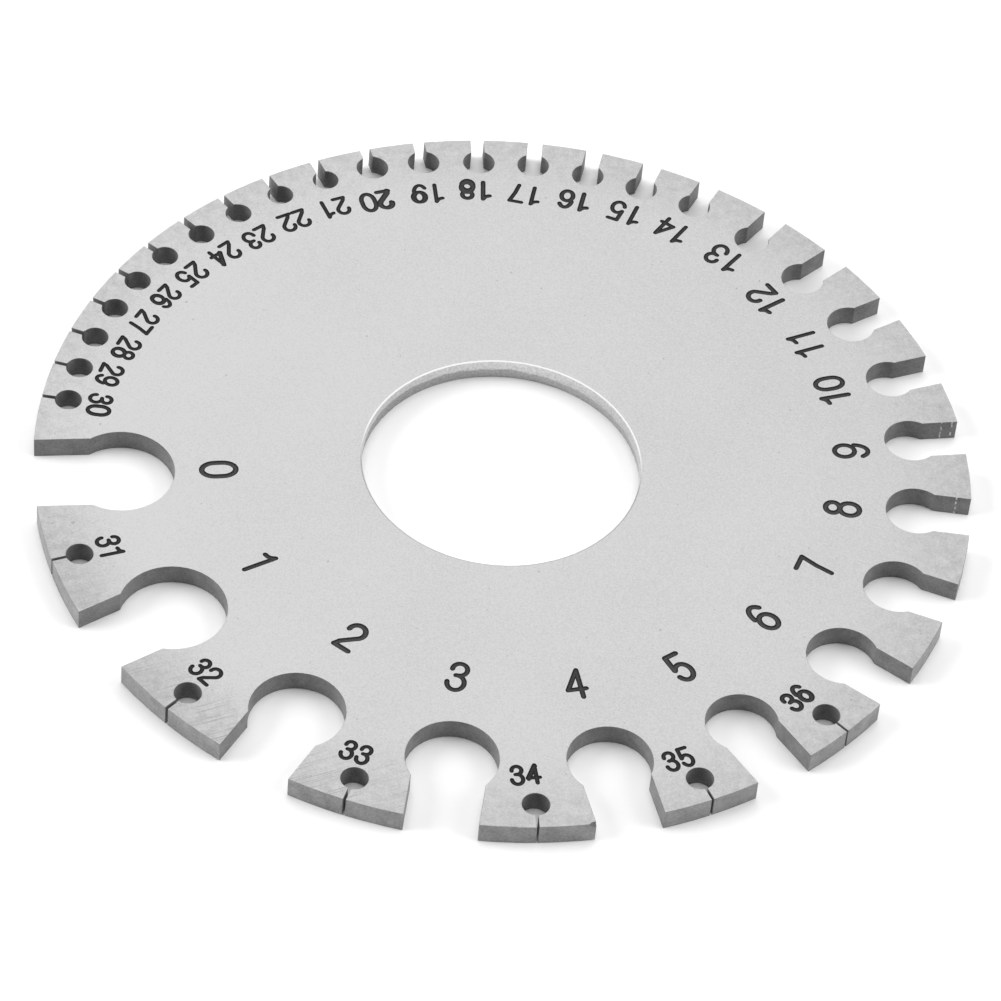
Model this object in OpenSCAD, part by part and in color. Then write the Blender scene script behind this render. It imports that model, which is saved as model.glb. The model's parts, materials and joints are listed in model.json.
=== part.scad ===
// Round sheet and wire gauge plate.
// A flat ring of steel with one slot for each gauge cut in from its rim.
// Each slot is a parallel mouth, as wide as sheet of that gauge is thick,
// that runs along a radius into a round relief.
// Lengths are in millimetres. The plate lies on Z = 0, centred on the origin.

/* [Plate] */
// Diameter of the plate
plate_d = 80; // [60:1:120]
// Thickness of the plate
plate_t = 2; // [1.4:0.1:4]

/* [Centre hole] */
// Diameter of the hole at its smooth sheared band
hole_d = 23.8; // [8:0.2:36]
// Distance along X that the punch missed the middle of the plate by
hole_off = -0.25; // [-0.5:0.05:0.5]
// Radius of the rolled edge where the punch went in
hole_roll_r = 0.15; // [0.05:0.05:0.3]
// Height of the torn band at the foot of the hole
hole_tear_h = 1; // [0.2:0.1:1.2]
// Distance that the torn band opens out to each side
hole_tear_out = 0.1; // [0.02:0.02:0.3]

/* [Gauge slots] */
// Direction of the slot for gauge 0, degrees anticlockwise from +X
first_slot_deg = 189.5; // [0:0.5:360]
// Weight of one square foot of steel sheet one inch thick, pounds
steel_lb = 41.82; // [40:0.01:42]

/* [Hidden] */
// Sheet weight that defines each gauge from 0 to 36, ounces per square foot
gauge_oz = concat(
    [200],
    [for (oz = [180:-10:50]) oz],
    [45, 40],
    [for (oz = [36:-4:24]) oz],
    [for (oz = [22:-2:12]) oz],
    [for (oz = [11:-1:7]) oz],
    [for (oz = [6.5:-0.5:4.5]) oz]
);

// Degrees round the rim from each slot to the next, for gauges 0 to 30
slot_step_deg = [
    28.2, 26, 23.1, 22, 20, 19.4, 15.4, 14.7, 13.4, 12,
    11.6, 10.9, 10.2, 10, 8, 7.8, 7.8, 7.6, 7.7, 7.2,
    7, 7, 6.9, 6.6, 6.5, 6, 6, 6, 6, 6
];

// Depth of each relief's centre below the rim
relief_depth = [
    7.4, 7.1, 6.7, 6.7, 6.3, 5.9, 5.4, 4.8, 4.7, 4.5,
    4.2, 4.2, 4.2, 3.7, 3.1, 3.2, 3.2, 2.9, 2.9, 2.6,
    2.4, 2.6, 2.6, 2.6, 2.6, 2.2, 2.2, 2.3, 2.3, 2.3,
    2.3, 2.4, 2.4, 2.4, 2.4, 2.4, 2.4
];

// Punches in the rack, as [diameter, slots that share it], largest first
relief_punch = [
    [9.1, 2], [8, 1], [7.7, 1], [7.1, 1], [6.1, 2], [5.7, 1], [5.2, 1], [4.7, 1],
    [4.2, 2], [3.75, 1], [3.1, 1], [2.85, 7], [2.3, 16]
];
relief_d = [for (punch = relief_punch) for (i = [1:punch[1]]) punch[0]];

// The finest gauges have no place left on the rim and split the widest lands
last_gauge = len(gauge_oz) - 1;
last_rim_gauge = len(slot_step_deg);
mm_per_inch = 25.4;
oz_per_lb = 16;
plate_r = plate_d / 2;
hole_r = hole_d / 2;

// Cutters run this far past the faces and the rim
overshoot = 1;

// Facets for the round cutters and the disc
round_fn = 96;

// Thickness of sheet of a gauge, which is the width of its mouth
function mouth_w(gauge) = gauge_oz[gauge] / oz_per_lb / steel_lb * mm_per_inch;

// Half the angle that a mouth takes up on the rim
function mouth_half_deg(gauge) = asin(mouth_w(gauge) / plate_d);

// Sum of the first steps of a list
function step_sum(steps, count) = count == 0 ? 0 : steps[count - 1] + step_sum(steps, count - 1);

// Direction of a slot that has its own place on the rim
function rim_slot_deg(gauge) = first_slot_deg + step_sum(slot_step_deg, gauge);

// Direction half-way along the land between two mouths
function land_deg(gauge) =
    (rim_slot_deg(gauge) + mouth_half_deg(gauge)
    + rim_slot_deg(gauge + 1) - mouth_half_deg(gauge + 1)) / 2;

function slot_deg(gauge) =
    gauge <= last_rim_gauge ? rim_slot_deg(gauge) : land_deg(gauge - last_rim_gauge - 1);

// Section of the punched sheet, from the wall of the hole out past the rim
module sheet_section() {
    difference() {
        translate([hole_r, 0])
            square([plate_r + overshoot - hole_r, plate_t]);
        // Torn band, opening downwards
        polygon([
            [hole_r - overshoot, 0],
            [hole_r + hole_tear_out, 0],
            [hole_r, hole_tear_h],
            [hole_r - overshoot, hole_tear_h]
        ]);
        // Rolled edge at the top of the hole
        difference() {
            translate([hole_r - overshoot, plate_t - hole_roll_r])
                square([hole_roll_r + overshoot, hole_roll_r + overshoot]);
            translate([hole_r + hole_roll_r, plate_t - hole_roll_r])
                circle(r = hole_roll_r, $fn = round_fn);
        }
    }
}

// Cutter for one slot: the round relief, and the mouth from its centre out past the rim
module slot_cutter(gauge) {
    cut_h = plate_t + 2 * overshoot;
    rotate(slot_deg(gauge))
        translate([plate_r - relief_depth[gauge], 0, -overshoot]) {
            cylinder(d = relief_d[gauge], h = cut_h, $fn = round_fn);
            translate([0, -mouth_w(gauge) / 2, 0])
                cube([relief_depth[gauge] + overshoot, mouth_w(gauge), cut_h]);
        }
}

// The disc that the rim is turned to, out of sheet with the hole already in it
module punched_disc() {
    intersection() {
        translate([0, 0, -overshoot])
            cylinder(d = plate_d, h = plate_t + 2 * overshoot, $fn = round_fn);
        translate([hole_off, 0, 0])
            rotate_extrude($fn = round_fn)
                sheet_section();
    }
}

module gauge_plate() {
    color("#d6d6d6")
    difference() {
        punched_disc();
        for (gauge = [0:last_gauge])
            slot_cutter(gauge);
    }
}

gauge_plate();
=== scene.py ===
"""Looks of a round sheet and wire gauge plate, laid out as an add-on and run as a script."""

import json
import math

import bpy
from mathutils import Euler, Matrix, Vector


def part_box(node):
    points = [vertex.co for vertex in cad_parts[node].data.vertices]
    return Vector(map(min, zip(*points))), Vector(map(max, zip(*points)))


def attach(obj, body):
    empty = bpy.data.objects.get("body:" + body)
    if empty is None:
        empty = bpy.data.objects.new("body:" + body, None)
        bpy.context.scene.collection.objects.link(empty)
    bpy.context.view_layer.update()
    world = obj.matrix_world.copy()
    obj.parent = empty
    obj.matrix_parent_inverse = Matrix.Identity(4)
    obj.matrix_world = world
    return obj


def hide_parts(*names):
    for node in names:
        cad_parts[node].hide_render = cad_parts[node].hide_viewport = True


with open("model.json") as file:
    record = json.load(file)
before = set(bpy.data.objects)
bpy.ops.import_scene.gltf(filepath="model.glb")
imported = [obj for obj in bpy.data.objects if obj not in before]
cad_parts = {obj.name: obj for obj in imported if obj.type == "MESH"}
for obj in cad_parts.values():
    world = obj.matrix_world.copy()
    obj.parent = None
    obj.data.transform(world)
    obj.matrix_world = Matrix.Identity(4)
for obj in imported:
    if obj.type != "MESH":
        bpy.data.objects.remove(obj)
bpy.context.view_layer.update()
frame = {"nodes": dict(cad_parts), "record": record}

bl_info = {
    "name": "Wire Gauge Plate",
    "version": (1, 0, 0),
    "blender": (4, 5, 0),
    "location": "View3D > Sidebar > Gauge Plate",
    "description": "Finishes a slotted steel gauge plate, engraves its numbers and lights it",
    "category": "Object",
}

MM = 0.001
PLATE_NODE = "gauge_plate"
FACE_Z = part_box(PLATE_NODE)[1].z
PLATE_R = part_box(PLATE_NODE)[1].x
# The centre hole's smooth band. The torn band is below its foot.
HOLE = next(mount for mount in frame["record"]["mounts"] if mount["name"] == "centre_hole")
HOLE_R = HOLE["dims"]["r_mm"] * MM
HOLE_LAND_Z = HOLE["pos_m"][2] - HOLE["dims"]["length_mm"] * MM / 2

# The photograph's frame is square, and the lens is given for a sensor of this width.
SENSOR_W_MM = 36

# Each number's place by gauge, 0 to 36: the bearing of its middle in degrees round from +X,
# the radius of its base line in millimetres, and its turn in degrees from standing square.
NUMBER_PLACES = (
    (189.9, 25.8, 1), (216.0, 25.6, -3), (242.4, 25.6, -5), (265.0, 26.2, -2), (287.4, 26.8, -1),
    (307.1, 28.1, 2), (326.6, 28.6, -1), (342.0, 29.7, 0), (356.8, 30.5, 1), (10.0, 31.5, -1),
    (23.7, 31.6, -3), (34.7, 32.1, -7), (46.0, 32.6, -7), (57.0, 33.9, -1), (66.6, 34.1, -7),
    (74.8, 34.3, -2), (83.0, 34.3, -1), (90.5, 34.2, -7), (98.3, 34.5, -4), (105.7, 34.4, -5),
    (114.0, 34.4, -2), (120.7, 34.8, -3), (127.4, 34.9, -4), (134.1, 34.9, -1), (140.3, 35.2, -2),
    (146.8, 35.5, -3), (152.8, 35.6, -3), (158.9, 35.6, -3), (164.8, 35.6, -4), (170.6, 35.9, -3),
    (176.7, 35.9, 2), (203.8, 35.9, -1), (229.8, 35.9, -1), (254.1, 36.0, 0), (277.0, 35.5, 6),
    (297.7, 36.1, 1), (317.9, 35.7, 6),
)
# Height of the digits in millimetres, each with the count of numbers engraved at that height.
NUMBER_HEIGHTS = ((2.9, 10), (2.45, 4), (2.3, 2), (2.15, 5), (2.0, 5), (1.86, 11))
# Numbers cut with a heavier hand, so that their strokes are wider.
BOLD_NUMBERS = (0, 2, 5, 6, 8, 10, 12, 16, 18, 20, 36)
# Strokes that the engraver went over again a little off the first cut: gauge, digit from the left,
# stroke of that digit, and the shift across and up as shares of the digit's height.
SECOND_CUTS = (
    (18, 1, 1, 0, -0.08), (18, 1, 1, 0.02, 0.06), (19, 1, 1, 0.07, 0), (20, 0, 0, 0.05, -0.03),
    (22, 1, 1, -0.08, 0), (24, 1, 1, 0.03, -0.04), (26, 1, 1, 0.02, 0.05), (28, 1, 1, 0.04, 0),
    (30, 1, 0, 0.03, 0), (34, 1, 1, 0.03, -0.06), (36, 1, 1, 0.03, -0.02),
)
# Bright burrs that run down the slot walls near the rim, in millimetres across and along the plate.
BURR_PLACES = ((37.41, 9.69), (38.29, 9.87), (38.75, 0.94))
ARC_STEP_DEG = 15
# Steps round the quarter turn that rounds off each end of a stroke.
ROUND_END_DEG = (30, 55, 75, 87)

# The plate's own steels, in the order of its material slots.
FACE, WALL, RIM, BORE = range(4)
# A face that looks up or down more squarely than this belongs to the plate's two flat sides.
FLAT_NORMAL_Z = 0.999
# A wall this close to the hole or to the rim belongs to it and not to a slot.
HOLE_MARGIN = 1 * MM
RIM_MARGIN = 0.1 * MM
# Corners closer than this are one, and facets that meet flatter than this are one face.
WELD = 0.001 * MM
FLAT_ANGLE = math.radians(0.5)
# Edges sharper than the first are broken, and those flatter than the second are shaded smooth.
SHARP_ANGLE = math.radians(50)
SMOOTH_ANGLE = math.radians(28)
# Half sizes of the chip in the rim as shares of its length: outwards, along the rim and down.
CHIP_HALVES = (0.3, 0.5, 0.4)
# The table lies this far below the plate, so that their faces don't coincide.
FLOOR_GAP = 0.02 * MM
# Nothing nearer to the camera than this is drawn.
CLIP_NEAR = 10 * MM


def srgb(code):
    """A hex sRGB colour as the linear red, green and blue that shaders take, and a full alpha."""
    shares = [int(code[i:i + 2], 16) / 255 for i in (1, 3, 5)]
    return [s / 12.92 if s <= 0.04045 else ((s + 0.055) / 1.055) ** 2.4 for s in shares] + [1.0]


def arc(x, y, half_w, half_h, start, end):
    """Points along an elliptic arc between two angles in degrees, anticlockwise if end is larger."""
    count = max(2, round(abs(end - start) / ARC_STEP_DEG))
    angles = [math.radians(start + (end - start) * i / count) for i in range(count + 1)]
    return [(x + half_w * math.cos(a), y + half_h * math.sin(a)) for a in angles]


def turned(strokes):
    """The strokes of a digit turned upside down, as a 9 is a 6."""
    return [[(-x, 1 - y) for x, y in points] for points in strokes]


# Centre lines of the engraving cutter for each digit, one unit high and centred on x = 0.
# A stroke that ends where it began is a closed loop.
SIX = [arc(0.02, 0.55, 0.26, 0.45, 38, 172), arc(0, 0.30, 0.24, 0.30, 180, -180)]
DIGIT_STROKES = {
    "0": [arc(0, 0.61, 0.27, 0.39, 180, 0) + arc(0, 0.39, 0.27, 0.39, 0, -180) + [(-0.27, 0.61)]],
    "1": [[(0.06, 0), (0.06, 1)], [(-0.20, 0.80), (-0.09, 0.83), (0, 0.90), (0.06, 1)]],
    "2": [arc(0, 0.74, 0.25, 0.26, 185, -35) + [(-0.18, 0.17), (-0.25, 0)], [(-0.25, 0), (0.24, 0)]],
    "3": [arc(0.02, 0.777, 0.215, 0.223, 183, -90) + [(-0.05, 0.55)],
          [(-0.05, 0.55)] + arc(-0.01, 0.275, 0.245, 0.275, 90, -180)],
    "4": [[(0.11, 0), (0.11, 1)], [(0.11, 1), (-0.27, 0.30)], [(-0.27, 0.30), (0.25, 0.30)]],
    "5": [[(0.19, 1), (-0.17, 1)], [(-0.17, 1), (-0.205, 0.47)],
          arc(0, 0.305, 0.235, 0.305, 148, -160)],
    "6": SIX,
    "7": [[(-0.26, 1), (0.24, 1)], [(0.24, 1), (0.09, 0.5), (0, 0)]],
    "8": [arc(0, 0.79, 0.21, 0.21, -90, 270), arc(0, 0.29, 0.245, 0.29, 90, -270)],
    "9": turned(SIX),
}


class PlateSettings(bpy.types.PropertyGroup):
    """Sizes and colours of the plate's own steel."""

    edge_break: bpy.props.FloatProperty(
        name="Edge break", description="Width of the fine chamfer along every cut edge",
        default=0.03 * MM, min=0.005 * MM, max=0.2 * MM, precision=5, unit="LENGTH")
    pit_place: bpy.props.FloatVectorProperty(
        name="Pits", description="Middle of the cluster of pits in the face",
        default=(-36 * MM, -11.6 * MM, FACE_Z), subtype="TRANSLATION", unit="LENGTH")
    scratch_place: bpy.props.FloatVectorProperty(
        name="Scratches", description="Middle of the tabs that the grinder scratched",
        default=(-18 * MM, -33 * MM, FACE_Z), subtype="TRANSLATION", unit="LENGTH")
    dull_place: bpy.props.FloatVectorProperty(
        name="Dull patch", description="Middle of the patch where the face is dullest",
        default=(-32 * MM, -22 * MM, FACE_Z), subtype="TRANSLATION", unit="LENGTH")
    nick_place: bpy.props.FloatVectorProperty(
        name="Nick", description="Where the chip in the rim's upper edge sits",
        default=(10.03 * MM, -38.72 * MM), size=2, subtype="TRANSLATION", unit="LENGTH")
    nick_length: bpy.props.FloatProperty(
        name="Nick length", description="Length of the chip along the rim",
        default=1.0 * MM, min=0.1 * MM, max=2 * MM, precision=5, unit="LENGTH")
    face_pale: bpy.props.FloatVectorProperty(
        name="Face, pale", description="Ground steel where the grain is brightest",
        default=srgb("#DCDCDC"), size=4, min=0, max=1, subtype="COLOR")
    face_dark: bpy.props.FloatVectorProperty(
        name="Face, dark", description="Ground steel in the grain's troughs",
        default=srgb("#B4B4B4"), size=4, min=0, max=1, subtype="COLOR")
    wall_colour: bpy.props.FloatVectorProperty(
        name="Slot walls", description="Cut steel inside the slots and reliefs",
        default=srgb("#777777"), size=4, min=0, max=1, subtype="COLOR")
    rim_colour: bpy.props.FloatVectorProperty(
        name="Rim", description="Turned steel round the outside",
        default=srgb("#8C8C8C"), size=4, min=0, max=1, subtype="COLOR")
    bore_colour: bpy.props.FloatVectorProperty(
        name="Hole land", description="Burnished band of the centre hole",
        default=srgb("#CCCCCC"), size=4, min=0, max=1, subtype="COLOR")
    tear_colour: bpy.props.FloatVectorProperty(
        name="Hole tear", description="Torn band of the centre hole, below the land",
        default=srgb("#ACACAC"), size=4, min=0, max=1, subtype="COLOR")
    # Painted highlight: white painted along the far top of the centre hole's rolled edge.
    glint_colour: bpy.props.FloatVectorProperty(
        name="Far hole edge", description="Polished roll along the far upper edge of the centre hole",
        default=srgb("#FFFFFF"), size=4, min=0, max=1, subtype="COLOR")
    # Painted shade: grey painted along the near top of the centre hole's rolled edge.
    shade_colour: bpy.props.FloatVectorProperty(
        name="Near hole edge", description="Roll along the near upper edge of the centre hole",
        default=srgb("#B0B0B0"), size=4, min=0, max=1, subtype="COLOR")
    burr_colour: bpy.props.FloatVectorProperty(
        name="Burrs", description="Bright burrs on the slot walls",
        default=srgb("#DCDCDC"), size=4, min=0, max=1, subtype="COLOR")


class NumberSettings(bpy.types.PropertyGroup):
    """Sizes and colours of the engraved numbers."""

    stroke_least: bpy.props.FloatProperty(
        name="Least stroke", description="Width of a stroke on a number of no height",
        default=0.25 * MM, min=0.05 * MM, max=0.6 * MM, precision=5, unit="LENGTH")
    stroke_share: bpy.props.FloatProperty(
        name="Stroke share", description="How much wider a stroke gets with the number's height",
        default=0.075, min=0, max=0.2)
    bold_extra: bpy.props.FloatProperty(
        name="Bold extra", description="Added width of a stroke cut with a heavier hand",
        default=0.05 * MM, min=0, max=0.3 * MM, precision=5, unit="LENGTH")
    digit_pitch: bpy.props.FloatProperty(
        name="Digit pitch", description="Step from digit to digit as a share of their height",
        default=0.72, min=0.5, max=1.2)
    groove_share: bpy.props.FloatProperty(
        name="Groove depth", description="Depth of a groove as a share of half its width",
        default=0.45, min=0.1, max=1)
    coat: bpy.props.FloatProperty(
        name="Coat", description="Thickness of the black that lines a groove",
        default=0.012 * MM, min=0.002 * MM, max=0.05 * MM, precision=6, unit="LENGTH")
    black: bpy.props.FloatVectorProperty(
        name="Black", description="Filler at the sides of a groove",
        default=srgb("#1C1C1C"), size=4, min=0, max=1, subtype="COLOR")
    # Painted sheen: the grey painted along each groove's floor stands in for the light that the floor
    # catches.
    worn: bpy.props.FloatVectorProperty(
        name="Worn black", description="Filler along the floor of a groove, where it is thinnest",
        default=srgb("#585858"), size=4, min=0, max=1, subtype="COLOR")


class StageSettings(bpy.types.PropertyGroup):
    """Floor, light and camera."""

    floor_r: bpy.props.FloatProperty(
        name="Floor", description="Radius of the white table",
        default=1.5, min=0.2, max=10, unit="LENGTH")
    floor_colour: bpy.props.FloatVectorProperty(
        name="Floor colour", description="White of the table",
        default=srgb("#FCFCFC"), size=4, min=0, max=1, subtype="COLOR")
    sky: bpy.props.FloatProperty(
        name="Soft light", description="Even light from all round", default=0.01, min=0, max=2)
    top_light: bpy.props.FloatProperty(
        name="Top light", description="Light on the table from overhead", default=0.35, min=0, max=2)
    back_light: bpy.props.FloatProperty(
        name="Back light", description="Light on the table from behind the plate",
        default=0.27, min=0, max=2)
    left_light: bpy.props.FloatProperty(
        name="Left light", description="Light on the table from the left", default=0.33, min=0, max=2)
    right_light: bpy.props.FloatProperty(
        name="Right light", description="Light on the table from the right", default=0.29, min=0, max=2)
    top_spread: bpy.props.FloatProperty(
        name="Top spread", description="Angle that the overhead light fills",
        default=math.radians(40), subtype="ANGLE")
    back_spread: bpy.props.FloatProperty(
        name="Back spread", description="Angle that the light from behind fills",
        default=math.radians(60), subtype="ANGLE")
    side_spread: bpy.props.FloatProperty(
        name="Side spread", description="Angle that each side light fills",
        default=math.radians(45), subtype="ANGLE")
    lens: bpy.props.FloatProperty(
        name="Lens", description="Focal length in millimetres", default=175.86, min=10, max=500)
    camera_distance: bpy.props.FloatProperty(
        name="Camera distance", description="From the lens to the floor along the line of sight",
        default=416.4 * MM, min=0.1, max=5, unit="LENGTH")
    camera_elevation: bpy.props.FloatProperty(
        name="Camera elevation", description="Height of the line of sight above the horizon",
        default=math.radians(46.99), subtype="ANGLE")
    camera_roll: bpy.props.FloatProperty(
        name="Camera roll", description="Turn of the camera about its line of sight",
        default=math.radians(5.57), subtype="ANGLE")
    camera_aim: bpy.props.FloatVectorProperty(
        name="Camera aim", description="Point on the floor at the middle of the picture",
        default=(0, -2.7 * MM, 0), subtype="TRANSLATION", unit="LENGTH")


def only(obj):
    """Select one object alone and make it the active one."""
    bpy.ops.object.select_all(action="DESELECT")
    obj.select_set(True)
    bpy.context.view_layer.objects.active = obj


def apply_modifier(obj, kind, **settings):
    """Put a modifier on an object, set it and apply it."""
    only(obj)
    modifier = obj.modifiers.new(kind.title(), kind)
    for name, value in settings.items():
        setattr(modifier, name, value)
    bpy.ops.object.modifier_apply(modifier=modifier.name)


def add_node(tree, kind, inputs=None, **settings):
    """Add a node with its settings, and set or link its inputs by name or number."""
    made = tree.nodes.new(kind)
    for name, value in settings.items():
        setattr(made, name, value)
    for socket, value in (inputs or {}).items():
        if isinstance(value, bpy.types.NodeSocket):
            tree.links.new(value, made.inputs[socket])
        else:
            made.inputs[socket].default_value = value
    return made


def start_material(name):
    """An empty node material, its tree and the object's own coordinates in metres."""
    material = bpy.data.materials.new(name)
    material.use_nodes = True
    tree = material.node_tree
    tree.nodes.clear()
    return material, tree, add_node(tree, "ShaderNodeTexCoord").outputs["Object"]


def finish_material(tree, shader):
    """Send a shader to the material's surface."""
    add_node(tree, "ShaderNodeOutputMaterial", {"Surface": shader.outputs[0]})


def satin_ground_steel(look):
    """Stainless sheet, ground and then blasted fine: an even pale grey with a soft gloss,
    a fine grain, a duller margin near the rim, grinding scratches on the tabs and a few pits."""
    material, tree, place = start_material("Satin ground stainless steel")
    parts = add_node(tree, "ShaderNodeSeparateXYZ", {0: place})
    # Blast grain of about 0.15 mm and slow clouds of about 15 mm from uneven grinding.
    grain = add_node(tree, "ShaderNodeTexNoise", {
        "Vector": place, "Scale": 1 / (0.15 * MM), "Detail": 2, "Roughness": 0.6})
    clouds = add_node(tree, "ShaderNodeTexNoise", {
        "Vector": place, "Scale": 1 / (15 * MM), "Detail": 3, "Roughness": 0.5})
    # The margin is duller from a radius of 32 mm outwards, and most of all in one patch.
    flat = add_node(tree, "ShaderNodeVectorMath", {0: place, 1: (1, 1, 0)}, operation="MULTIPLY")
    reach = add_node(tree, "ShaderNodeVectorMath", {0: flat.outputs[0]}, operation="LENGTH")
    margin = add_node(tree, "ShaderNodeMapRange", {
        "Value": reach.outputs["Value"], "From Min": 32 * MM, "From Max": 41 * MM},
        interpolation_type="SMOOTHSTEP")
    away = add_node(tree, "ShaderNodeVectorMath", {0: place, 1: look.dull_place}, operation="DISTANCE")
    dulling = add_node(tree, "ShaderNodeMapRange", {
        "Value": away.outputs["Value"], "From Min": 8 * MM, "From Max": 20 * MM,
        "To Min": -0.62, "To Max": -0.32})
    # Scratches about 5 mm long and 0.1 mm wide, all drawn one way, in patches of about 6 mm out on
    # the tabs. They fade with the distance from the tabs that have most of them.
    slant = add_node(tree, "ShaderNodeMapping", {
        "Vector": place, "Rotation": (0, 0, math.radians(27)), "Scale": (5 * MM, 0.12 * MM, 1)},
        vector_type="TEXTURE")
    scratch = add_node(tree, "ShaderNodeTexNoise", {"Vector": slant.outputs[0], "Scale": 1, "Detail": 1})
    scored = add_node(tree, "ShaderNodeMapRange", {
        "Value": scratch.outputs["Fac"], "From Min": 0.54, "From Max": 0.70})
    away = add_node(tree, "ShaderNodeVectorMath", {0: place, 1: look.scratch_place}, operation="DISTANCE")
    fading = add_node(tree, "ShaderNodeMapRange", {
        "Value": away.outputs["Value"], "From Min": 12 * MM, "From Max": 26 * MM,
        "To Min": 1, "To Max": 0.1})
    patches = add_node(tree, "ShaderNodeTexNoise", {"Vector": place, "Scale": 1 / (6 * MM), "Detail": 1})
    patch = add_node(tree, "ShaderNodeMapRange", {
        "Value": patches.outputs["Fac"], "From Min": 0.42, "From Max": 0.58, "To Min": 0.15})
    scores = scored.outputs[0]
    for mask in (fading, margin, patch):
        scores = add_node(tree, "ShaderNodeMath", {
            0: scores, 1: mask.outputs[0]}, operation="MULTIPLY").outputs[0]
    # Scuffs of about 1 mm, only near the rim.
    scuff = add_node(tree, "ShaderNodeTexNoise", {
        "Vector": place, "Scale": 1 / (1 * MM), "Detail": 4, "Roughness": 0.7})
    rubbed = add_node(tree, "ShaderNodeMath", {0: scuff.outputs["Fac"], 1: 0.5}, operation="SUBTRACT")
    rubbed = add_node(tree, "ShaderNodeMath", {
        0: rubbed.outputs[0], 1: margin.outputs[0]}, operation="MULTIPLY")
    # Pits about 0.2 mm across, far apart but for a cluster on the tab for gauge 31.
    speck = add_node(tree, "ShaderNodeTexNoise", {"Vector": place, "Scale": 1 / (0.4 * MM), "Detail": 0})
    away = add_node(tree, "ShaderNodeVectorMath", {0: place, 1: look.pit_place}, operation="DISTANCE")
    crowd = add_node(tree, "ShaderNodeMapRange", {
        "Value": away.outputs["Value"], "From Min": 1.5 * MM, "From Max": 3 * MM,
        "To Min": 0.1, "To Max": 0})
    speck = add_node(tree, "ShaderNodeMath", {
        0: speck.outputs["Fac"], 1: crowd.outputs[0]}, operation="ADD")
    pitted = add_node(tree, "ShaderNodeMapRange", {
        "Value": speck.outputs[0], "From Min": 0.83, "From Max": 0.88})
    # The tone runs from 0, dark, to 1, pale, and each of these adds its share to a level that is a little
    # above dark. The slope along X is painted light: a quarter of that range across the plate, paler on the
    # left, where more light falls.
    tone = 0.14
    for source, share in (
        (grain.outputs["Fac"], 1.15),
        (clouds.outputs["Fac"], 0.3),
        (margin.outputs[0], dulling.outputs[0]),
        (scores, -0.9),
        (rubbed.outputs[0], 1.6),
        (parts.outputs["X"], -0.25 / PLATE_R / 2),
        (pitted.outputs[0], -0.7),
    ):
        tone = add_node(tree, "ShaderNodeMath", {
            0: source, 1: share, 2: tone}, operation="MULTIPLY_ADD").outputs[0]
    colour = add_node(tree, "ShaderNodeMix", {
        "Factor": tone, "A": look.face_dark, "B": look.face_pale}, data_type="RGBA")
    bump = add_node(tree, "ShaderNodeBump", {
        "Height": grain.outputs["Fac"], "Strength": 0.15, "Distance": 0.01 * MM})
    shader = add_node(tree, "ShaderNodeBsdfPrincipled", {
        "Base Color": colour.outputs["Result"], "Metallic": 1, "Roughness": 0.45,
        "Normal": bump.outputs[0]})
    finish_material(tree, shader)
    return material


def cut_wall_steel(name, shade, burr_colour, roughness):
    """Steel left as it was cut: matt grey with a fine dull mottle, and broken streaks of bright burr
    in a few places near the rim."""
    material, tree, place = start_material(name)
    # A fine mottle of about 0.2 mm on a broad one of about 1.2 mm.
    fine = add_node(tree, "ShaderNodeTexNoise", {"Vector": place, "Scale": 1 / (0.2 * MM), "Detail": 2})
    broad = add_node(tree, "ShaderNodeTexNoise", {"Vector": place, "Scale": 1 / (1.2 * MM), "Detail": 3})
    tone = add_node(tree, "ShaderNodeMath", {
        0: fine.outputs["Fac"], 1: broad.outputs["Fac"]}, operation="ADD")
    level = add_node(tree, "ShaderNodeMapRange", {
        "Value": tone.outputs[0], "From Min": 0.6, "From Max": 1.4, "To Min": 0.65, "To Max": 1.35})
    colour = add_node(tree, "ShaderNodeVectorMath", {
        0: shade[:3], "Scale": level.outputs[0]}, operation="SCALE").outputs[0]
    # Each burr is a streak down the wall, at most 0.2 mm wide, that flecks of about 0.4 mm break up.
    flecks = add_node(tree, "ShaderNodeMapping", {
        "Vector": place, "Scale": (0.3 * MM, 0.3 * MM, 0.4 * MM)}, vector_type="TEXTURE")
    fleck = add_node(tree, "ShaderNodeTexNoise", {"Vector": flecks.outputs[0], "Scale": 1, "Detail": 1})
    bright = add_node(tree, "ShaderNodeMapRange", {
        "Value": fleck.outputs["Fac"], "From Min": 0.44, "From Max": 0.6})
    flat = add_node(tree, "ShaderNodeVectorMath", {0: place, 1: (1, 1, 0)}, operation="MULTIPLY")
    for x, y in BURR_PLACES:
        away = add_node(tree, "ShaderNodeVectorMath", {
            0: flat.outputs[0], 1: (x * MM, y * MM, 0)}, operation="DISTANCE")
        near = add_node(tree, "ShaderNodeMapRange", {
            "Value": away.outputs["Value"], "From Min": 0.02 * MM, "From Max": 0.1 * MM,
            "To Min": 1, "To Max": 0})
        burr = add_node(tree, "ShaderNodeMath", {
            0: near.outputs[0], 1: bright.outputs[0]}, operation="MULTIPLY")
        colour = add_node(tree, "ShaderNodeMix", {
            "Factor": burr.outputs[0], "A": colour, "B": burr_colour}, data_type="RGBA").outputs["Result"]
    bump = add_node(tree, "ShaderNodeBump", {
        "Height": fine.outputs["Fac"], "Strength": 0.3, "Distance": 0.03 * MM})
    shader = add_node(tree, "ShaderNodeBsdfPrincipled", {
        "Base Color": colour, "Metallic": 0.1, "Roughness": roughness,
        "Normal": bump.outputs[0]})
    finish_material(tree, shader)
    return material


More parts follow.
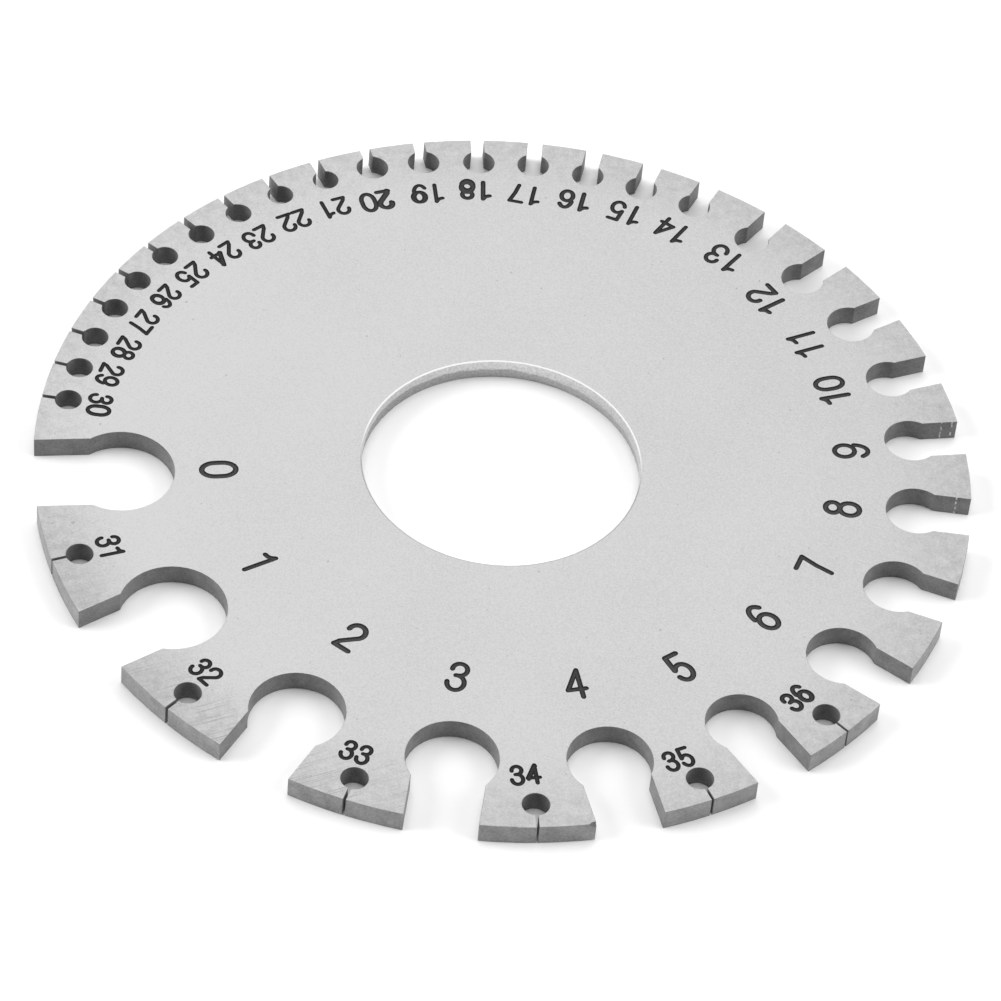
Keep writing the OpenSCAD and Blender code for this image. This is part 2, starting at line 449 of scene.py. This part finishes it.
def punched_bore_steel(look):
    """Wall of a punched hole: a bright burnished land above a rough torn band, which meet in an uneven
    line, and a rolled upper edge with a painted glint along its far side and painted grey shade along its
    near side."""
    material, tree, place = start_material("Punched bore steel")
    parts = add_node(tree, "ShaderNodeSeparateXYZ", {0: place})
    wander = add_node(tree, "ShaderNodeTexNoise", {
        "Vector": place, "Scale": 1 / (1.6 * MM), "Detail": 3})
    # The tear starts higher up on the left than on the right, by 0.4 mm from side to side. Noise lifts
    # the line by 0.3 mm on average, so the land is taken to begin that much higher.
    line = add_node(tree, "ShaderNodeMath", {
        0: parts.outputs["X"], 1: 0.2 * MM / HOLE_R, 2: parts.outputs["Z"]}, operation="MULTIPLY_ADD")
    line = add_node(tree, "ShaderNodeMath", {
        0: wander.outputs["Fac"], 1: 0.6 * MM, 2: line.outputs[0]}, operation="MULTIPLY_ADD")
    land = add_node(tree, "ShaderNodeMapRange", {
        "Value": line.outputs[0], "From Min": HOLE_LAND_Z + 0.22 * MM, "From Max": HOLE_LAND_Z + 0.40 * MM},
        interpolation_type="SMOOTHSTEP")
    # Painted highlight and shade: the top of the rolled edge is painted white on the far side and grey on
    # the near side, for the light it would catch or miss.
    rolled = add_node(tree, "ShaderNodeMapRange", {
        "Value": parts.outputs["Z"], "From Min": FACE_Z - 0.075 * MM, "From Max": FACE_Z - 0.05 * MM})
    far = add_node(tree, "ShaderNodeMapRange", {
        "Value": parts.outputs["Y"], "From Min": -2 * MM, "From Max": 3 * MM})
    painted_glint_and_shade = add_node(tree, "ShaderNodeMix", {
        "Factor": far.outputs[0], "A": look.shade_colour, "B": look.glint_colour}, data_type="RGBA")
    # Torn grit of about 0.2 mm.
    grit = add_node(tree, "ShaderNodeTexNoise", {
        "Vector": place, "Scale": 1 / (0.2 * MM), "Detail": 3})
    level = add_node(tree, "ShaderNodeMapRange", {
        "Value": grit.outputs["Fac"], "From Min": 0.3, "From Max": 0.7, "To Min": 0.8, "To Max": 1.15})
    # The tear fades out towards the right.
    worn = add_node(tree, "ShaderNodeMapRange", {
        "Value": parts.outputs["X"], "From Min": -2 * MM, "From Max": 10 * MM, "To Max": 0.5})
    land = add_node(tree, "ShaderNodeMath", {
        0: land.outputs[0], 1: worn.outputs[0]}, operation="MAXIMUM")
    colour = add_node(tree, "ShaderNodeMix", {
        "Factor": land.outputs[0], "A": look.tear_colour, "B": look.bore_colour}, data_type="RGBA")
    colour = add_node(tree, "ShaderNodeVectorMath", {
        0: colour.outputs["Result"], "Scale": level.outputs[0]}, operation="SCALE")
    colour = add_node(tree, "ShaderNodeMix", {
        "Factor": rolled.outputs[0], "A": colour.outputs[0], "B": painted_glint_and_shade.outputs["Result"]},
        data_type="RGBA")
    roughness = add_node(tree, "ShaderNodeMapRange", {
        "Value": land.outputs[0], "To Min": 0.6, "To Max": 0.35})
    bump = add_node(tree, "ShaderNodeBump", {
        "Height": grit.outputs["Fac"], "Strength": 0.25, "Distance": 0.02 * MM})
    shader = add_node(tree, "ShaderNodeBsdfPrincipled", {
        "Base Color": colour.outputs["Result"], "Metallic": 1, "Roughness": roughness.outputs[0],
        "Normal": bump.outputs[0]})
    finish_material(tree, shader)
    return material


def black_number_filler(look, depth):
    """Matt black filler rubbed into the engraving: blackest up the sides of each groove, with a painted
    sheen of dark grey along its floor."""
    material, tree, place = start_material("Black number filler")
    parts = add_node(tree, "ShaderNodeSeparateXYZ", {0: place})
    # The painted sheen starts at just under half of a groove's depth and is full near its floor.
    sunk = add_node(tree, "ShaderNodeMapRange", {
        "Value": parts.outputs["Z"], "From Min": FACE_Z - 0.45 * depth, "From Max": FACE_Z - 0.85 * depth})
    grit = add_node(tree, "ShaderNodeTexNoise", {"Vector": place, "Scale": 1 / (0.1 * MM), "Detail": 2})
    painted_sheen = add_node(tree, "ShaderNodeMath", {
        0: sunk.outputs[0], 1: grit.outputs["Fac"]}, operation="MULTIPLY")
    colour = add_node(tree, "ShaderNodeMix", {
        "Factor": painted_sheen.outputs[0], "A": look.black, "B": look.worn}, data_type="RGBA")
    shader = add_node(tree, "ShaderNodeBsdfPrincipled", {
        "Base Color": colour.outputs["Result"], "Roughness": 0.7, "Specular IOR Level": 0.15})
    finish_material(tree, shader)
    return material


def number_heights():
    """The height of each number in metres, in order of gauge."""
    return [height * MM for height, count in NUMBER_HEIGHTS for _ in range(count)]


def add_stroke(curve, points, radius):
    """Draw one cut of the engraving cutter: a closed loop, or a line with round ends."""
    closed = (points[0] - points[-1]).length < 0.01 * radius
    if closed:
        path = [(p, 1) for p in points[:-1]]
    else:
        ends = [math.radians(a) for a in ROUND_END_DEG]
        out_first = (points[0] - points[1]).normalized() * radius
        out_last = (points[-1] - points[-2]).normalized() * radius
        path = [(points[0] + out_first * math.sin(a), math.cos(a)) for a in reversed(ends)]
        path += [(p, 1) for p in points]
        path += [(points[-1] + out_last * math.sin(a), math.cos(a)) for a in ends]
    spline = curve.splines.new("POLY")
    spline.points.add(len(path) - 1)
    spline.use_cyclic_u = closed
    for point, (place, share) in zip(spline.points, path):
        point.co = (*place, 1)
        point.radius = share * radius / curve.bevel_depth


def draw_number(curve, gauge, height, look):
    """Draw a gauge number where it stands, its head towards the middle of the plate."""
    bearing, base_r, turn = NUMBER_PLACES[gauge]
    text = str(gauge)
    width = look.stroke_least + look.stroke_share * height
    if gauge in BOLD_NUMBERS:
        width += look.bold_extra
    stand = (
        Matrix.Rotation(math.radians(bearing), 4, "Z")
        @ Matrix.Translation((base_r * MM, 0, FACE_Z))
        @ Matrix.Rotation(math.radians(90 + turn), 4, "Z")
        @ Matrix.Diagonal((height, height, 1, 1))
    )
    cuts = [(i, j, 0, 0) for i, digit in enumerate(text) for j in range(len(DIGIT_STROKES[digit]))]
    cuts += [cut[1:] for cut in SECOND_CUTS if cut[0] == gauge]
    for i, j, across, up in cuts:
        across += (i - (len(text) - 1) / 2) * look.digit_pitch
        points = [stand @ Vector((x + across, y + up, 0)) for x, y in DIGIT_STROKES[text[i]][j]]
        add_stroke(curve, points, width / 2)


class MESH_OT_gauge_plate(bpy.types.Operator):
    """Finish the slotted plate: break its edges and give each kind of surface its steel"""

    bl_idname = "mesh.gauge_plate_add"
    bl_label = "Add Plate"

    def execute(self, context):
        look = context.scene.gauge_plate
        plate = bpy.data.objects.new("plate", frame["nodes"][PLATE_NODE].data.copy())
        context.collection.objects.link(plate)
        only(plate)
        bpy.ops.object.mode_set(mode="EDIT")
        bpy.ops.mesh.select_all(action="SELECT")
        bpy.ops.mesh.remove_doubles(threshold=WELD)
        bpy.ops.mesh.dissolve_limited(angle_limit=FLAT_ANGLE)
        bpy.ops.object.mode_set(mode="OBJECT")
        plate.data.materials.clear()
        for material in (
            satin_ground_steel(look),
            cut_wall_steel("Wire cut slot steel", look.wall_colour, look.burr_colour, roughness=0.6),
            cut_wall_steel("Turned rim steel", look.rim_colour, look.burr_colour, roughness=0.5),
            punched_bore_steel(look),
        ):
            plate.data.materials.append(material)
        for face in plate.data.polygons:
            reach = face.center.to_2d().length
            if abs(face.normal.z) > FLAT_NORMAL_Z:
                face.material_index = FACE
            elif reach < HOLE_R + HOLE_MARGIN:
                face.material_index = BORE
            elif reach > PLATE_R - RIM_MARGIN:
                face.material_index = RIM
            else:
                face.material_index = WALL
        apply_modifier(
            plate, "BEVEL", width=look.edge_break, segments=1, limit_method="ANGLE",
            angle_limit=SHARP_ANGLE, use_clamp_overlap=False)
        self.nick_corner(plate, look)
        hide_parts(PLATE_NODE)
        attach(plate, "root")
        return {"FINISHED"}

    def nick_corner(self, plate, look):
        """Take the chip out of the rim's upper edge, beside the mouth for gauge 4."""
        bpy.ops.object.select_all(action="DESELECT")
        bpy.ops.mesh.primitive_ico_sphere_add(subdivisions=1, radius=1)
        chip = bpy.context.object
        chip.data.transform(
            Matrix.Translation((*look.nick_place, FACE_Z))
            @ Matrix.Rotation(math.atan2(look.nick_place[1], look.nick_place[0]), 4, "Z")
            @ Matrix.Diagonal([share * look.nick_length for share in CHIP_HALVES] + [1]))
        chip.data.materials.append(plate.data.materials[WALL])
        apply_modifier(
            plate, "BOOLEAN", operation="DIFFERENCE", object=chip, solver="EXACT", material_mode="TRANSFER")
        bpy.data.objects.remove(chip)


class MESH_OT_gauge_numbers(bpy.types.Operator):
    """Engrave the gauge numbers into the plate's face and line the grooves with black"""

    bl_idname = "mesh.gauge_numbers_add"
    bl_label = "Add Numbers"

    def execute(self, context):
        look = context.scene.gauge_numbers
        heights = number_heights()
        curve = bpy.data.curves.new("numbers", "CURVE")
        curve.dimensions = "3D"
        curve.twist_mode = "Z_UP"
        curve.use_fill_caps = True
        curve.bevel_resolution = 2
        curve.bevel_depth = (look.stroke_least + look.stroke_share * heights[0]) / 2
        for gauge, height in enumerate(heights):
            draw_number(curve, gauge, height, look)
        cutter = bpy.data.objects.new("number_cutter", curve)
        context.collection.objects.link(cutter)
        only(cutter)
        bpy.ops.object.convert(target="MESH")
        depth = look.groove_share * curve.bevel_depth
        # The cutter stands a little proud, so that no edge of it lies in the face itself.
        proud = 0.1 * depth
        cutter.data.transform(
            Matrix.Translation((0, 0, FACE_Z + proud))
            @ Matrix.Diagonal((1, 1, look.groove_share, 1))
            @ Matrix.Translation((0, 0, -FACE_Z)))
        filler = black_number_filler(look, depth)
        cutter.data.materials.append(filler)
        plate = bpy.data.objects["plate"]
        apply_modifier(
            plate, "BOOLEAN", operation="DIFFERENCE", object=cutter, solver="EXACT",
            use_self=True, material_mode="TRANSFER")
        bpy.data.objects.remove(cutter)
        self.line_grooves(context, plate, filler, look)
        for piece in (plate, bpy.data.objects["numbers"]):
            only(piece)
            bpy.ops.object.shade_smooth_by_angle(angle=SMOOTH_ANGLE)
        for face in plate.data.polygons:
            if abs(face.normal.z) > FLAT_NORMAL_Z:
                face.use_smooth = False
        return {"FINISHED"}

    def line_grooves(self, context, plate, filler, look):
        """Copy the grooves' walls off the plate and thicken them into a coat of filler."""
        index = plate.data.materials.find(filler.name)
        if index < 0:
            raise RuntimeError("the numbers left no groove in the plate")
        numbers = bpy.data.objects.new("numbers", plate.data.copy())
        context.collection.objects.link(numbers)
        only(numbers)
        for face in numbers.data.polygons:
            face.select = face.material_index != index
        bpy.ops.object.mode_set(mode="EDIT")
        bpy.ops.mesh.delete(type="FACE")
        bpy.ops.object.mode_set(mode="OBJECT")
        numbers.data.materials.clear()
        numbers.data.materials.append(filler)
        for face in numbers.data.polygons:
            face.material_index = 0
        apply_modifier(numbers, "SOLIDIFY", thickness=look.coat, offset=1, use_rim=True)
        for vertex in numbers.data.vertices:
            vertex.co.z = min(vertex.co.z, FACE_Z)
        for face in plate.data.polygons:
            if face.material_index == index:
                face.material_index = WALL
        plate.data.materials.pop(index=index)
        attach(numbers, "root")


class SCENE_OT_gauge_stage(bpy.types.Operator):
    """Set the white table, the soft light and the camera"""

    bl_idname = "scene.gauge_stage_add"
    bl_label = "Add Stage"

    def execute(self, context):
        look = context.scene.gauge_stage
        bpy.ops.object.select_all(action="DESELECT")
        bpy.ops.mesh.primitive_circle_add(
            vertices=96, radius=look.floor_r, fill_type="NGON", location=(0, 0, -FLOOR_GAP))
        floor = context.object
        floor.name = "floor"
        floor.data.materials.append(self.white_table(look))
        self.light_room(context, look)
        self.place_camera(context, look)
        return {"FINISHED"}

    def white_table(self, look):
        """Matt white table top, which keeps the plate's soft shadow."""
        material, tree, _ = start_material("Matt white table")
        shader = add_node(tree, "ShaderNodeBsdfPrincipled", {
            "Base Color": look.floor_colour, "Roughness": 0.9, "Specular IOR Level": 0})
        finish_material(tree, shader)
        return material

    def light_room(self, context, look):
        """A white room, a little even light from all round and four wide lamps that no gloss mirrors."""
        world = bpy.data.worlds.new("White room")
        context.scene.world = world
        world.use_nodes = True
        tree = world.node_tree
        tree.nodes.clear()
        path = add_node(tree, "ShaderNodeLightPath")
        seen = add_node(tree, "ShaderNodeMath", {
            0: path.outputs["Is Camera Ray"], 1: path.outputs["Is Glossy Ray"]}, operation="MAXIMUM")
        seen = add_node(tree, "ShaderNodeMath", {
            0: seen.outputs[0], 1: path.outputs["Is Transmission Ray"]}, operation="MAXIMUM")
        strength = add_node(tree, "ShaderNodeMapRange", {
            "Value": seen.outputs[0], "To Min": look.sky, "To Max": 1.0})
        light = add_node(tree, "ShaderNodeBackground", {
            "Color": (1, 1, 1, 1), "Strength": strength.outputs[0]})
        add_node(tree, "ShaderNodeOutputWorld", {"Surface": light.outputs[0]})
        # Each lamp's name, share of white, spread, and lean from straight down in degrees about X, Y and Z.
        for name, share, spread, lean in (
            ("top_light", look.top_light, look.top_spread, (0, 0, 0)),
            ("back_light", look.back_light, look.back_spread, (-45, 0, 0)),
            ("left_light", look.left_light, look.side_spread, (0, -65, 0)),
            ("right_light", look.right_light, look.side_spread, (0, 58, 0)),
        ):
            turn = Euler([math.radians(angle) for angle in lean])
            bpy.ops.object.light_add(type="SUN", rotation=turn)
            lamp = context.object
            lamp.name = name
            # A white table under this lamp alone shows as bright as the lamp's share of white.
            lamp.data.energy = share * math.pi / turn.to_matrix()[2][2]
            lamp.data.angle = spread
            lamp.visible_glossy = False

    def place_camera(self, context, look):
        """Stand the camera at the photograph's own distance, height and tilt."""
        pose = (
            Matrix.Translation(look.camera_aim)
            @ Matrix.Rotation(math.radians(90) - look.camera_elevation, 4, "X")
            @ Matrix.Rotation(look.camera_roll, 4, "Z")
            @ Matrix.Translation((0, 0, look.camera_distance))
        )
        bpy.ops.object.camera_add()
        camera = context.object
        camera.name = "camera"
        camera.matrix_world = pose
        camera.data.sensor_width = SENSOR_W_MM
        camera.data.lens = look.lens
        camera.data.clip_start = CLIP_NEAR
        context.scene.camera = camera
        context.scene.view_settings.view_transform = "Standard"


class VIEW3D_PT_gauge_plate(bpy.types.Panel):
    """Steps that make the gauge plate, with their settings"""

    bl_label = "Gauge Plate"
    bl_space_type = "VIEW_3D"
    bl_region_type = "UI"
    bl_category = "Gauge Plate"

    def draw(self, context):
        scene = context.scene
        for operator, settings in (
            (MESH_OT_gauge_plate, scene.gauge_plate),
            (MESH_OT_gauge_numbers, scene.gauge_numbers),
            (SCENE_OT_gauge_stage, scene.gauge_stage),
        ):
            box = self.layout.box()
            box.operator(operator.bl_idname)
            for name in settings.__annotations__:
                box.prop(settings, name)


CLASSES = (
    PlateSettings, NumberSettings, StageSettings,
    MESH_OT_gauge_plate, MESH_OT_gauge_numbers, SCENE_OT_gauge_stage,
    VIEW3D_PT_gauge_plate,
)


def register():
    for cls in CLASSES:
        bpy.utils.register_class(cls)
    bpy.types.Scene.gauge_plate = bpy.props.PointerProperty(type=PlateSettings)
    bpy.types.Scene.gauge_numbers = bpy.props.PointerProperty(type=NumberSettings)
    bpy.types.Scene.gauge_stage = bpy.props.PointerProperty(type=StageSettings)


def unregister():
    del bpy.types.Scene.gauge_stage
    del bpy.types.Scene.gauge_numbers
    del bpy.types.Scene.gauge_plate
    for cls in reversed(CLASSES):
        bpy.utils.unregister_class(cls)


def main():
    register()
    bpy.ops.mesh.gauge_plate_add()
    bpy.ops.mesh.gauge_numbers_add()
    bpy.ops.scene.gauge_stage_add()


if __name__ == "__main__":
    main()
